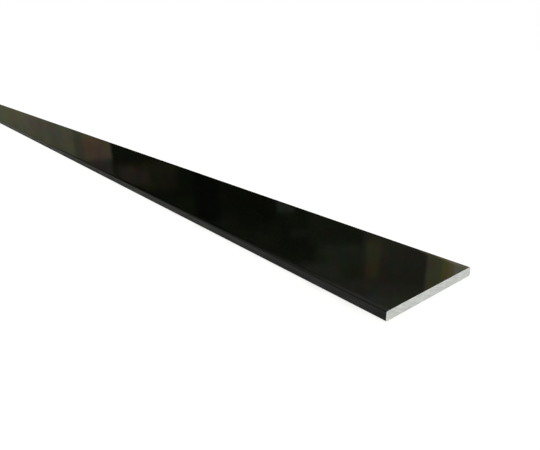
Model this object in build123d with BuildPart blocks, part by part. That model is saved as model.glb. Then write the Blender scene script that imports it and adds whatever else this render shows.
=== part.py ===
from build123d import *
import os

# A length of extruded flat bar, as sold for cutting and drilling: one solid
# piece of metal with a plain wide section, four rounded long edges and two
# square sawn ends. All sizes are in millimetres.
# The origin is the middle of the face that the bar lies on. +X runs along the
# bar to the sawn end nearest the eye, +Y across its width, and +Z up.

# Driving sizes
bar_length = 1000.0      # the shortest length that this section is commonly sold in
bar_width = 40.0
bar_thickness = 3.0
edge_radius = 0.5        # the die leaves this rounding on each long edge
end_break = 0.05         # one light stroke of a file takes the saw's burr off

# The section stands on the plane of the far sawn end, half a thickness up, so
# that the bar's underside comes to lie on Z = 0.
far_end = Plane(
    origin=(-bar_length / 2, 0, bar_thickness / 2),
    x_dir=(0, 1, 0),
    z_dir=(1, 0, 0),
)

with BuildPart() as flat_bar:
    # The die's opening: a flat rectangle with its four corners rounded
    with BuildSketch(far_end) as die_section:
        RectangleRounded(bar_width, bar_thickness, edge_radius)

    # The bar comes out of the die at one section for its whole length
    extrude(amount=bar_length)

    # Both ends are sawn square, and the sharp rim of each cut is filed off
    sawn_ends = flat_bar.faces().filter_by(Axis.X)
    chamfer(sawn_ends.edges(), length=end_break)

flat_bar.part.label = "flat_bar"

os.makedirs("parts", exist_ok=True)
export_step(flat_bar.part, "parts/flat_bar.step")
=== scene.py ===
# %% [markdown]
# # A sawn length of black flat bar
#
# Flat bar is aluminium pressed hot through a steel die, so it has one section
# from end to end: wide, thin, and a little rounded along its four long edges.
# It is dyed black in the anodising bath and sealed under a clear coat, then a
# saw cuts it to length, and the cut shows the bare pale metal.
#
# The lesson makes the bar as the works does: the section first, then the
# length, then the two saw cuts, and last the two finishes and the light that
# shows them.

import math

import bpy
from mathutils import Matrix, Vector


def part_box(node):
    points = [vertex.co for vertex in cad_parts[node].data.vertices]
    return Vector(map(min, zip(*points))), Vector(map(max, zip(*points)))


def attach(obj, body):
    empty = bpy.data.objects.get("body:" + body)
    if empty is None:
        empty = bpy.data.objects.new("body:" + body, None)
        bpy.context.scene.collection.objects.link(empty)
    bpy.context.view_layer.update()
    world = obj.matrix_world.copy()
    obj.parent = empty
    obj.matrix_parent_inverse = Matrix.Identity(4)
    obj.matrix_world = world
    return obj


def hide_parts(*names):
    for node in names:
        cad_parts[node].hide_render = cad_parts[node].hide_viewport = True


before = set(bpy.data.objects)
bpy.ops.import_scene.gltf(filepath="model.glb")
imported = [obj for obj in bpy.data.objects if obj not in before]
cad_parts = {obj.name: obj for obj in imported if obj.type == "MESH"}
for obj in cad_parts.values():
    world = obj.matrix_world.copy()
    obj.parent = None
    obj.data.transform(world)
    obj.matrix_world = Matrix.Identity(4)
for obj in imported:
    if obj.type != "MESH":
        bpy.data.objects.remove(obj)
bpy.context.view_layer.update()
bar_low, bar_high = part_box("flat_bar")

bar_length = bar_high.x - bar_low.x
bar_width = bar_high.y - bar_low.y
bar_thickness = bar_high.z - bar_low.z
print(f"bar {bar_length * 1000:.1f} x {bar_width * 1000:.1f} x {bar_thickness * 1000:.1f} mm")

# %% [markdown]
# ## Where the eye is
#
# The bar was looked at from very close, about 12 cm off its near corner, which
# is why it shrinks so fast into the distance. A long lens from further away
# would flatten it, so the distance matters more here than the lens does.
#
# Everything is measured from the foot of the near sawn end, in the middle of
# its width. The heading turns from the +Y direction towards -X.

# %% Camera
eye_past_the_end = 0.06147
eye_out_to_the_side = 0.10458
eye_height = 0.06421
heading = math.radians(52.08)
tilt_down = math.radians(20.28)
lean = math.radians(-1.33)
quarter_turn = math.radians(90)

picture_width_px = 540
focal_length_px = 457.4
film_width_mm = 36.0

camera = bpy.data.cameras.new("eye")
camera.sensor_width = film_width_mm
camera.lens = focal_length_px / picture_width_px * film_width_mm
camera.clip_start = 0.01
eye = bpy.data.objects.new("eye", camera)
eye.matrix_world = (
    Matrix.Translation((bar_high.x + eye_past_the_end, -eye_out_to_the_side, eye_height))
    @ Matrix.Rotation(heading, 4, "Z")
    @ Matrix.Rotation(quarter_turn - tilt_down, 4, "X")
    @ Matrix.Rotation(lean, 4, "Z")
)
bpy.context.collection.objects.link(eye)
bpy.context.scene.camera = eye
bpy.context.scene.view_settings.view_transform = "Standard"
print(f"lens {camera.lens:.2f} mm")

# %% [markdown]
# ## Sums that wire themselves
#
# A shape or a finish that follows a rule is easiest to read as a sum, such as
# `1 - mask`. In Blender each step of a sum is a node, so this small class
# holds one output of a node and answers +, -, *, / and the like by adding the
# Math node for it. Geometry Nodes and shaders share those nodes, so it serves
# both.
#
# Every other node comes from `node`, which sets the node's own settings first,
# because they decide which sockets it has, and its sockets after that.

# %% One output of a node
class Wire:
    """One output of a node, or, with no socket, the empty start of a tree."""

    def __init__(self, tree, socket=None):
        self.tree = tree
        self.socket = socket

    def node(self, kind, settings=None, sockets=()):
        """Adds a node. Sockets go by name, or in order where they share one name."""
        made = self.tree.nodes.new(kind)
        for name, value in (settings or {}).items():
            setattr(made, name, value)
        in_order = [s for s in made.inputs if s.enabled]
        if isinstance(sockets, dict):
            in_order = [next(s for s in in_order if s.name == name) for name in sockets]
            sockets = sockets.values()
        for socket, value in zip(in_order, sockets):
            if isinstance(value, Wire):
                self.tree.links.new(value.socket, socket)
            else:
                socket.default_value = value
        return Wire(self.tree, next((s for s in made.outputs if s.enabled), None))

    def out(self, name):
        """Another output of the same node."""
        outputs = self.socket.node.outputs
        return Wire(self.tree, next(s for s in outputs if s.name == name and s.enabled))

    def math(self, operation, *values):
        return self.node("ShaderNodeMath", {"operation": operation}, values)

    def clamped(self):
        return self.node("ShaderNodeClamp", None, {"Value": self})

    def __add__(self, other):
        return self.math("ADD", self, other)

    def __radd__(self, other):
        return self.math("ADD", other, self)

    def __sub__(self, other):
        return self.math("SUBTRACT", self, other)

    def __rsub__(self, other):
        return self.math("SUBTRACT", other, self)

    def __mul__(self, other):
        return self.math("MULTIPLY", self, other)

    def __rmul__(self, other):
        return self.math("MULTIPLY", other, self)

    def __truediv__(self, other):
        return self.math("DIVIDE", self, other)

    def __rtruediv__(self, other):
        return self.math("DIVIDE", other, self)

    def __pow__(self, other):
        return self.math("POWER", self, other)

    def __abs__(self):
        return self.math("ABSOLUTE", self)

    def __gt__(self, other):
        return self.math("GREATER_THAN", self, other)


def blank_material(name):
    """A material with an empty tree, and the start of that tree."""
    made = bpy.data.materials.new(name)
    made.use_nodes = True
    made.node_tree.nodes.clear()
    return made, Wire(made.node_tree)


print("sums ready")

# %% [markdown]
# ## The saw's path
#
# A round blade comes down through the bar. Each tooth leaves a shallow arc, and
# the next one lands a hair further down, so the cut is covered in arcs with the
# blade's own radius. A point of the cut is passed when the blade's rim gets down
# to it: that depth of feed is the same all along one arc, and it is the whole
# rule for both the ridges in the metal and the streaks in its colour. Noise
# that runs on along the arcs but changes from one to the next makes both.

# %% The marks the blade leaves where it passes a point
blade_radius = 0.150
blade_off_centre = 0.055     # the blade's middle stands to one side of the bar's
tooth_step = 0.00034         # between one ridge and the next
ridge_depth = 0.000011
changes_along_an_arc = 90    # for each metre


def feed_depth(y, z):
    """The feed, in tooth steps, at which the rim passes (y, z), both in metres."""
    across = y - blade_off_centre
    drop = (blade_radius**2 - across * across) ** 0.5
    return (drop + z) / tooth_step


def tooth_marks(start, y, z):
    """0 to 1 over the cut, nearly the same all along one arc."""
    path = start.node("ShaderNodeCombineXYZ", None, [feed_depth(y, z), y * changes_along_an_arc, 0])
    return start.node(
        "ShaderNodeTexNoise",
        {"noise_dimensions": "2D"},
        {"Vector": path, "Scale": 1.0, "Detail": 2.0, "Roughness": 0.6},
    )


print(f"{bar_thickness / tooth_step:.0f} ridges through the thickness")

# %% [markdown]
# ## The bar's shape, as a rule
#
# The section never changes, so the bar could be swept along a line. The sawn
# ends need a fine grid for the ridges, though, and the grid and the skin have
# to meet point for point or the mesh would leak. So the bar starts as a cube
# cut into a grid on every side, which is closed already, and a rule moves each
# point to its place on the bar:
#
# - across the width, the points keep an even pace over the flat, and the last
#   few on each side walk round the quarter circle of the edge;
# - through the thickness, they spread evenly over what height is left there;
# - along the length, all but the two end rings spread evenly, and the end
#   rings draw in by the width of the file's stroke that breaks the sharp rim;
# - on the cuts, the points inside the rim sink by the depth of the saw's ridge.

# %% The tree that makes a sawn bar
crisp_above = math.radians(25)
at_the_rim = 0.999           # of the way out from the middle


def socket_of(tree, name, kind, in_out="INPUT"):
    return tree.interface.new_socket(name, in_out=in_out, socket_type=f"NodeSocket{kind}")


def sawn_bar_tree():
    """A Geometry Nodes tree with named sizes. Returns it and its inputs by name."""
    tree = bpy.data.node_groups.new("sawn_bar", "GeometryNodeTree")
    socket_of(tree, "Bar", "Geometry", "OUTPUT")
    sizes = ["Length", "Width", "Thickness", "Edge Radius", "End Break", "Ridge Depth"]
    counts = ["Rings", "Columns", "Rows", "Edge Steps"]
    finishes = ["Skin", "Sawn Metal"]
    inputs = {name: socket_of(tree, name, "Float") for name in sizes}
    inputs.update({name: socket_of(tree, name, "Int") for name in counts})
    inputs.update({name: socket_of(tree, name, "Material") for name in finishes})

    start = Wire(tree)
    given = start.node("NodeGroupInput")
    length, width, thickness = given.out("Length"), given.out("Width"), given.out("Thickness")
    radius, end_break = given.out("Edge Radius"), given.out("End Break")
    rings, columns, rows = given.out("Rings"), given.out("Columns"), given.out("Rows")
    edge_steps = given.out("Edge Steps")

    # The cube runs from -1 to 1 each way, so its points say how far along they are
    cube = start.node(
        "GeometryNodeMeshCube",
        None,
        {"Size": (2, 2, 2), "Vertices X": rings, "Vertices Y": columns, "Vertices Z": rows},
    )
    place = start.node("GeometryNodeInputPosition")
    parts = start.node("ShaderNodeSeparateXYZ", None, [place])
    along, across, upward = parts, parts.out("Y"), parts.out("Z")

    # Kept on the mesh, because the points are about to move
    kept = start.node("GeometryNodeCaptureAttribute")
    keeper = kept.socket.node
    keeper.capture_items.new("FLOAT", "Along")
    tree.links.new(cube.socket, keeper.inputs["Geometry"])
    tree.links.new(along.socket, keeper.inputs["Along"])

    # Across: an even pace on the flat, then round the quarter circle
    half_columns = (columns - 1) / 2
    flat_columns = half_columns - edge_steps
    column = abs(across) * half_columns
    pace = column / flat_columns
    on_flat = pace.math("MINIMUM", pace, 1)
    turn = ((column - flat_columns) / edge_steps).clamped() * quarter_turn

    # Along: the end rings stand at the cuts and draw in by the file's stroke
    ring_step = 2 / (rings - 1)
    is_end = abs(along) > (1 - ring_step / 2)
    inner_place = along / (1 - ring_step) * (length / 2 - end_break)
    end_place = along * length / 2
    corner = radius - end_break * is_end

    from_middle = on_flat * (width / 2 - radius) + corner * turn.math("SINE", turn)
    y = across.math("SIGN", across) * from_middle
    half_height = thickness / 2 - radius + corner * turn.math("COSINE", turn)
    z = upward * half_height + thickness / 2

    # The ridges, inside the rim only, with some teeth set deeper than others
    in_rim = (1 - (abs(across) > at_the_rim)) * (1 - (abs(upward) > at_the_rim))
    sunk = given.out("Ridge Depth") * tooth_marks(start, y, z) * in_rim * is_end
    x = inner_place + (end_place - inner_place) * is_end - along.math("SIGN", along) * sunk

    moved = start.node(
        "GeometryNodeSetPosition",
        None,
        {"Geometry": kept, "Position": start.node("ShaderNodeCombineXYZ", None, [x, y, z])},
    )

    # Smooth all over, but the rims of the two cuts stay crisp
    smooth = start.node("GeometryNodeSetShadeSmooth", None, {"Geometry": moved})
    bend = start.node("GeometryNodeInputMeshEdgeAngle")
    crisp = start.node(
        "GeometryNodeSetShadeSmooth",
        {"domain": "EDGE"},
        {"Geometry": smooth, "Selection": bend > crisp_above, "Shade Smooth": False},
    )

    # Past the last whole ring, the saw and the file have taken the skin off
    whole = start.node("GeometryNodeRealizeInstances", None, {"Geometry": crisp})
    skinned = start.node(
        "GeometryNodeSetMaterial", None, {"Geometry": whole, "Material": given.out("Skin")}
    )
    is_cut = abs(Wire(tree, keeper.outputs["Along"])) > (1 - ring_step)
    bared = start.node(
        "GeometryNodeSetMaterial",
        None,
        {"Geometry": skinned, "Selection": is_cut, "Material": given.out("Sawn Metal")},
    )
    start.node("NodeGroupOutput", None, [bared])
    return tree, inputs


sawn_bar, bar_inputs = sawn_bar_tree()
print(f"sawn_bar: {len(sawn_bar.nodes)} nodes, inputs {', '.join(bar_inputs)}")

# %% [markdown]
# ## What finishes are made of
#
# No real surface is one even colour. The unevenness is noise, stretched along
# the way that the surface was made or worn, steepened where it has an edge to
# it, and used to mix two colours or to raise the surface by a hair. Both
# finishes of the bar are built from the same few steps. They read the object's
# own coordinates, in metres, so their marks are the same size wherever the bar
# is cut.

# %% Noise, mixing and relief
def noise(start, place, stretch, detail=2.0, roughness=0.5):
    """Noise at a place in metres. The stretch is its waves for each metre, by axis."""
    scaled = start.node("ShaderNodeVectorMath", {"operation": "MULTIPLY"}, [place, stretch])
    return start.node(
        "ShaderNodeTexNoise",
        None,
        {"Vector": scaled, "Scale": 1.0, "Detail": detail, "Roughness": roughness},
    )


def steepened(value, low, high):
    """Stretches low to high out to 0 to 1, with soft ends."""
    return value.node(
        "ShaderNodeMapRange",
        {"interpolation_type": "SMOOTHSTEP"},
        {"Value": value, "From Min": low, "From Max": high},
    )


def mixed_colour(share, first, second):
    """Goes from the first colour to the second as the share goes from 0 to 1."""
    return share.node(
        "ShaderNodeMix", {"data_type": "RGBA"}, {"Factor": share, "A": first, "B": second}
    )


def surfaced(start, height, relief_share, looks):
    """Ends a material's tree: the looks, and relief from a height in metres."""
    relief = start.node(
        "ShaderNodeBump", None, {"Height": height, "Strength": relief_share, "Distance": 1.0}
    )
    surface = start.node("ShaderNodeBsdfPrincipled", None, {**looks, "Normal": relief})
    start.node("ShaderNodeOutputMaterial", None, {"Surface": surface})


print("steps for the finishes ready")

# %% [markdown]
# ## The black skin
#
# Anodising grows a hard layer out of the metal itself, the dye turns it black,
# and the clear coat over it is as glossy as a piano. Next to no light comes
# back from inside, so what shows is the mirror image of the room, weak when
# seen from above and strong along the bar. The colour is nearly nothing then,
# and the work is in the gloss:
#
# - the die drew hair-fine lines down the whole length, which pull a reflection
#   out sideways;
# - the coat flowed a little before it set, so that reflections waver;
# - hands have left it hazy in places;
# - the polishing wheel leaned over the long edges, so the flat tips a few
#   degrees in its last two millimetres and mirrors the room higher up there.

# %% Black skin
deep_black = (0.0016, 0.0022, 0.0013, 1)
paler_black = (0.0028, 0.0034, 0.0023, 1)
coat_index = 1.5             # how strongly the clear coat bends light

clean_roughness = 0.035
die_line_roughness = 0.02    # added where the die drew a line
haze_roughness = 0.045       # added where hands have been
clear_below = 0.52
hazy_above = 0.72

die_line_depth = 0.0000006
flow_depth = 0.0000035
tipped_strip = 0.0022
tip_at_the_edge = math.radians(7)


def black_skin():
    made, start = blank_material("glossy_black_skin")
    place = start.node("ShaderNodeTexCoord").out("Object")

    die_lines = noise(start, place, (1.5, 1100, 1100), detail=3.0)
    flow = noise(start, place, (120, 260, 260))
    clouds = noise(start, place, (9, 22, 22), detail=3.0)
    touches = noise(start, place, (22, 70, 70), detail=4.0, roughness=0.6)
    haze = steepened(touches, clear_below, hazy_above)

    colour = mixed_colour(steepened(clouds, 0.3, 0.7), deep_black, paler_black)
    roughness = clean_roughness + die_line_roughness * die_lines + haze_roughness * haze

    # How far a point is into the strip that the wheel has tipped
    across = abs(start.node("ShaderNodeSeparateXYZ", None, [place]).out("Y"))
    tipped = ((across - (bar_width / 2 - tipped_strip)) / tipped_strip).clamped()
    fall = tipped_strip * math.tan(tip_at_the_edge) / 2
    height = die_line_depth * die_lines + flow_depth * flow - fall * tipped * tipped

    surfaced(start, height, 1.0, {"Base Color": colour, "Roughness": roughness, "IOR": coat_index})
    return made


skin = black_skin()
print(f"{skin.name}: {len(skin.node_tree.nodes)} nodes")

# %% [markdown]
# ## The sawn metal
#
# A fresh cut through aluminium is a pale, even grey. It is metal, but the teeth
# have torn it, so it scatters light almost as paper does. That is why it is
# only a fifth Metallic here: more of it would mirror the dim room and darken.
# Its streaks follow the same arcs as the ridges, and a finer grain lies over
# them.

# %% Sawn metal
dull_metal = (0.60, 0.621, 0.595, 1)
bright_metal = (0.95, 0.97, 0.935, 1)
metallic_share = 0.2

streak_share = 0.38          # the three shares of the tone make 1
blotch_share = 0.32
grain_share = 0.3
all_dull_below = 0.28
all_bright_above = 0.72

torn_roughness = 0.50
blotch_roughness = 0.12
grain_depth = 0.000004
streak_depth = 0.000006
worn_relief = 0.6            # handling has taken the tops off


def sawn_metal():
    made, start = blank_material("sawn_aluminium")
    place = start.node("ShaderNodeTexCoord").out("Object")
    parts = start.node("ShaderNodeSeparateXYZ", None, [place])

    streaks = tooth_marks(start, parts.out("Y"), parts.out("Z"))
    blotches = noise(start, place, (300, 300, 300), detail=3.0)
    grain = noise(start, place, (3000, 3000, 3000), detail=2.0)

    tone = streak_share * streaks + blotch_share * blotches + grain_share * grain
    brightness = steepened(tone, all_dull_below, all_bright_above)
    colour = mixed_colour(brightness, dull_metal, bright_metal)
    roughness = torn_roughness + blotch_roughness * blotches
    height = grain_depth * grain + streak_depth * streaks

    looks = {"Base Color": colour, "Metallic": metallic_share, "Roughness": roughness}
    surfaced(start, height, worn_relief, looks)
    return made


bare_metal = sawn_metal()
print(f"{bare_metal.name}: {len(bare_metal.node_tree.nodes)} nodes")

# %% [markdown]
# ## Making the bar
#
# The tree goes on an empty object as a modifier, gets its sizes, and is made
# into a plain mesh, which takes the place of the plain solid. The edge's
# rounding and the file's stroke are the two sizes that the box can't tell, so
# they are given here.

# %% The bar
edge_radius = 0.0005
end_break = 0.00005

bar_sizes = {
    "Length": bar_length,
    "Width": bar_width,
    "Thickness": bar_thickness,
    "Edge Radius": edge_radius,
    "End Break": end_break,
    "Ridge Depth": ridge_depth,
    "Rings": 10,
    "Columns": 341,
    "Rows": 41,
    "Edge Steps": 12,
    "Skin": skin,
    "Sawn Metal": bare_metal,
}

blank = bpy.data.objects.new("blank", bpy.data.meshes.new("blank"))
bpy.context.collection.objects.link(blank)
press = blank.modifiers.new("press", "NODES")
press.node_group = sawn_bar
for name, value in bar_sizes.items():
    press[bar_inputs[name].identifier] = value

pressed = blank.evaluated_get(bpy.context.evaluated_depsgraph_get())
bar_mesh = bpy.data.meshes.new_from_object(pressed)
bar_mesh.materials.pop(index=0)     # the cube's own slot, which no face wears
blank.modifiers.remove(press)
bpy.data.objects.remove(blank)

bar = bpy.data.objects.new("sawn_flat_bar", bar_mesh)
bpy.context.collection.objects.link(bar)
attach(bar, "root")
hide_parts("flat_bar")
worn = ", ".join(finish.name for finish in bar_mesh.materials)
print(f"{bar.name}: {len(bar_mesh.polygons)} faces, finishes {worn}")

# %% [markdown]
# ## The floor
#
# The bar lies on a pale floor that runs on past the view and meets a white
# distance without a seam. The narrow side mirrors the strip of floor next to
# it. A pool of lamp light is painted into the floor's paint there: pale by the
# near sawn end and duller further along. Feet have scuffed it as well, so the
# paint is uneven.
#
# To the eye, the floor glows by what its paint holds back, so it comes out
# white all over and the bar's shadow stays. To the gloss it glows a little by
# the near sawn end and not further on, a painted pool of light.

# %% The floor's paint
# The paint is paler by the near sawn end: a painted pool of lamp light, which the narrow side
# mirrors
paleness_in_painted_pool = 0.34
paleness_past_painted_pool = 0.20
painted_pool_fades_over = 0.27            # metres along the bar from the near sawn end
palest_past_the_cut = 0.02
floor_tint = (1.0, 1.0, 0.92)
light_on_floor = 0.98        # what the lamp and the even light give a white floor
white_to_the_eye = 1.06
# Painted glow of a pool of light, seen only in the gloss
painted_pool_glow_to_gloss = 0.12         # by the cut, and none further on
scuffing = 1.8               # how far feet have made the paint uneven
usual_noise = 0.5            # the middle of what noise gives

floor_paint, start = blank_material("pale_floor")
place = start.node("ShaderNodeTexCoord").out("Object")
along = start.node("ShaderNodeSeparateXYZ", None, [place])
# Painted pool of light: 1 by the near sawn end, fading to 0 further along the bar
painted_pool_of_light = steepened(along, bar_high.x - painted_pool_fades_over, bar_high.x + palest_past_the_cut)
scuffs = noise(start, place, (90, 300, 0), detail=3.0)
wear = 1 + scuffing * (scuffs - usual_noise)
paleness = (paleness_past_painted_pool + (paleness_in_painted_pool - paleness_past_painted_pool) * painted_pool_of_light) * wear

ray = start.node("ShaderNodeLightPath")
seen = ray * (white_to_the_eye - light_on_floor * paleness)
in_gloss_or_glass = ray.out("Is Glossy Ray") + ray.out("Is Transmission Ray")
# Painted pool of light that only the gloss sees: the floor glows to glossy rays by the near sawn
# end
mirrored = in_gloss_or_glass * painted_pool_glow_to_gloss * painted_pool_of_light
glow = start.node("ShaderNodeEmission", None, {"Strength": seen + mirrored})
paint = start.node(
    "ShaderNodeVectorMath", {"operation": "SCALE"}, {"Vector": floor_tint, "Scale": paleness}
)
matt = start.node("ShaderNodeBsdfDiffuse", None, {"Color": paint})
both = start.node("ShaderNodeAddShader", None, [matt, glow])
start.node("ShaderNodeOutputMaterial", None, {"Surface": both})
print(f"{floor_paint.name}: {len(floor_paint.node_tree.nodes)} nodes")

# %% Floor
floor_reach = 30.0
corners = [(-floor_reach, -floor_reach, 0), (floor_reach, -floor_reach, 0)]
corners += [(floor_reach, floor_reach, 0), (-floor_reach, floor_reach, 0)]

floor_mesh = bpy.data.meshes.new("floor")
floor_mesh.from_pydata(corners, [], [(0, 1, 2, 3)])
floor_mesh.materials.append(floor_paint)
floor = bpy.data.objects.new("floor", floor_mesh)
bpy.context.collection.objects.link(floor)
print(f"floor {2 * floor_reach:.0f} m each way")

# %% [markdown]
# ## The room in the gloss
#
# A black gloss shows only what it mirrors, so the room round the bar is half of
# its looks. The room is dim: cards, doors and hazes stand in it, warm and grey,
# and they are what moves over the bar as one walks round it. Each of them is a
# patch of the sky in compass degrees, with the bar along 0, and degrees up.
# Where two overlap, the later one covers the earlier.

# %% Cards
# Name: (from, to, bottom, top, soft edge, colour), the places in degrees
cards = {
    # Behind all the rest
    "upper haze": (130.0, 149.3, 20.6, 60.0, 3.0, (0.026, 0.031, 0.018, 1)),
    "high haze": (100.0, 178.0, 27.0, 60.0, 6.0, (0.060, 0.064, 0.048, 1)),
    "dim haze": (146.3, 149.3, 19.0, 60.0, 2.0, (0.024, 0.026, 0.015, 1)),
    "dim haze, further on": (151.4, 156.0, 16.6, 60.0, 1.6, (0.014, 0.016, 0.009, 1)),
    "dark upright": (148.7, 151.7, 5.0, 19.5, 1.0, (0.0042, 0.0056, 0.0032, 1)),
    # Seen in the bar's far half
    "grey shelf": (153.7, 161.4, 11.7, 15.2, 1.2, (0.023, 0.022, 0.011, 1)),
    "red spot": (157.0, 159.0, 12.6, 14.3, 0.8, (0.042, 0.031, 0.024, 1)),
    "grey spot": (158.7, 160.5, 12.1, 14.3, 0.8, (0.042, 0.038, 0.029, 1)),
    "card's head": (161.2, 178.0, 11.0, 14.5, 0.6, (0.046, 0.046, 0.035, 1)),
    "brown card": (161.1, 178.0, -5.0, 11.0, 0.5, (0.108, 0.086, 0.053, 1)),
    "card's fold": (164.1, 178.0, -5.0, 11.0, 0.5, (0.083, 0.074, 0.045, 1)),
    "card's far side": (165.0, 178.0, -5.0, 11.0, 0.3, (0.108, 0.104, 0.068, 1)),
    # Seen in its near half
    "green wall": (128.0, 141.2, 15.0, 23.6, 3.0, (0.0165, 0.0215, 0.0115, 1)),
    "small plate": (138.8, 141.1, 16.0, 18.7, 0.5, (0.054, 0.060, 0.045, 1)),
    "pale rail": (134.8, 139.3, 20.9, 21.9, 0.5, (0.034, 0.043, 0.025, 1)),
    "lower haze": (129.3, 136.9, 15.0, 22.6, 1.4, (0.029, 0.036, 0.021, 1)),
    "green haze": (129.0, 135.8, 22.6, 60.0, 1.6, (0.054, 0.066, 0.037, 1)),
    "green cloth": (129.3, 134.6, 22.8, 24.9, 0.6, (0.064, 0.081, 0.048, 1)),
    "grey haze": (108.0, 129.6, 16.0, 60.0, 1.2, (0.077, 0.079, 0.057, 1)),
    "near haze": (118.0, 133.5, 27.0, 60.0, 1.6, (0.112, 0.114, 0.084, 1)),
    "near haze, further on": (132.5, 138.4, 25.2, 60.0, 1.4, (0.098, 0.100, 0.074, 1)),
    "near shine": (118.0, 129.0, 28.6, 60.0, 1.2, (0.163, 0.165, 0.132, 1)),
    "red side": (126.5, 127.7, 22.3, 26.5, 0.9, (0.100, 0.080, 0.052, 1)),
    "amber post": (127.4, 129.2, 22.0, 26.5, 0.8, (0.140, 0.128, 0.060, 1)),
    "olive card": (119.3, 121.45, 15.0, 28.0, 0.4, (0.228, 0.225, 0.130, 1)),
    "orange door": (118.2, 119.5, 15.0, 26.5, 0.5, (0.360, 0.310, 0.125, 1)),
    "warm door": (117.0, 118.8, 15.0, 26.5, 0.5, (0.470, 0.390, 0.180, 1)),
    "pale door": (90.0, 118.1, 15.0, 26.0, 0.5, (0.640, 0.620, 0.430, 1)),
    # Seen in the rounded long edges
    "upper wall": (-200.0, 200.0, 33.0, 100.0, 8.0, (0.200, 0.195, 0.175, 1)),
    "overhead": (-200.0, 200.0, 50.0, 100.0, 6.0, (0.380, 0.380, 0.360, 1)),
    "upper window": (105.0, 138.0, 34.0, 60.0, 6.0, (0.280, 0.275, 0.240, 1)),
    "near wall": (-186.0, -50.0, -5.0, 47.0, 6.0, (0.230, 0.225, 0.200, 1)),
}
print(f"{len(cards)} cards")

# %% [markdown]
# ## Hanging the room round the bar
#
# A world shader is asked for the colour in one direction at a time, so each
# card is a mask in compass and height, and the room is mixed card by card. Low
# down it ends in the same white distance that the eye sees. Noise over the
# whole gives the small things that stand about in any room.
#
# The eye itself sees plain white all round, and matt surfaces get an even
# light from everywhere.

# %% Room
even_light = 0.84
plain_white = (1, 1, 1, 1)
dim_room = (0.0082, 0.0102, 0.0060, 1)
white_distance_top = 5.0
soft_edge = 0.6

things = 40                  # the number of small shapes in each 57 degrees
darkest_tint = 0.4
tint_swing = 1.2             # up from the darkest, which makes the middle tint 1


def within(value, low, high, soft):
    """1 between low and high, with soft ends."""
    return steepened(value, low - soft / 2, low + soft / 2) * (
        1 - steepened(value, high - soft / 2, high + soft / 2)
    )


world = bpy.data.worlds.new("room")
world.use_nodes = True
world.node_tree.nodes.clear()
bpy.context.scene.world = world
start = Wire(world.node_tree)
direction = start.node("ShaderNodeTexCoord")
parts = start.node("ShaderNodeSeparateXYZ", None, [direction])
compass = parts.math("DEGREES", parts.math("ARCTAN2", parts.out("Y"), parts))
height = parts.math("DEGREES", parts.math("ARCSINE", parts.out("Z")))

distance = 1 - steepened(height, white_distance_top - soft_edge, white_distance_top + soft_edge)
room = mixed_colour(distance, dim_room, plain_white)
for low, high, bottom, top, soft, colour in cards.values():
    patch = within(compass, low, high, soft) * within(height, bottom, top, soft)
    room = mixed_colour(patch, room, colour)

# Small things stand about everywhere, each of its own tint
clutter = noise(start, direction, [things] * 3, detail=3.0, roughness=0.6).out("Color")
tints = start.node(
    "ShaderNodeVectorMath",
    {"operation": "MULTIPLY_ADD"},
    [clutter, [tint_swing] * 3, [darkest_tint] * 3],
)
room = start.node("ShaderNodeVectorMath", {"operation": "MULTIPLY"}, [room, tints])

ray = start.node("ShaderNodeLightPath")
mirrored = start.node("ShaderNodeBackground", None, {"Color": room})
even = start.node("ShaderNodeBackground", None, {"Color": plain_white, "Strength": even_light})
white = start.node("ShaderNodeBackground", None, {"Color": plain_white})
lit = start.node("ShaderNodeMixShader", None, [ray.out("Is Diffuse Ray"), mirrored, even])
backdrop = start.node("ShaderNodeMixShader", None, [ray, lit, white])
start.node("ShaderNodeOutputWorld", None, {"Surface": backdrop})
print(f"{world.name}: {len(world.node_tree.nodes)} nodes")

# %% [markdown]
# ## The lamp
#
# Most of the light is the room's even one. One lamp, as broad and soft as a big
# window, shines along the bar onto its near sawn end. It is kept out of the
# gloss, so it whitens the cut without greying the black from any side, and the
# gloss mirrors the room alone. The bar's shadow is soft and close.

# %% Lamp
lamp_strength = 0.95
lamp_width = math.radians(90)
towards_the_lamp = Vector((0.89, 0.0, 0.45))

lamp = bpy.data.lights.new("window_lamp", "SUN")
lamp.energy = lamp_strength
lamp.angle = lamp_width
stand = bpy.data.objects.new("window_lamp", lamp)
stand.matrix_world = towards_the_lamp.to_track_quat("Z", "Y").to_matrix().to_4x4()
stand.visible_glossy = False
bpy.context.collection.objects.link(stand)
print(f"{lamp.name}: strength {lamp.energy:.2f}, {math.degrees(lamp.angle):.0f} degrees wide")
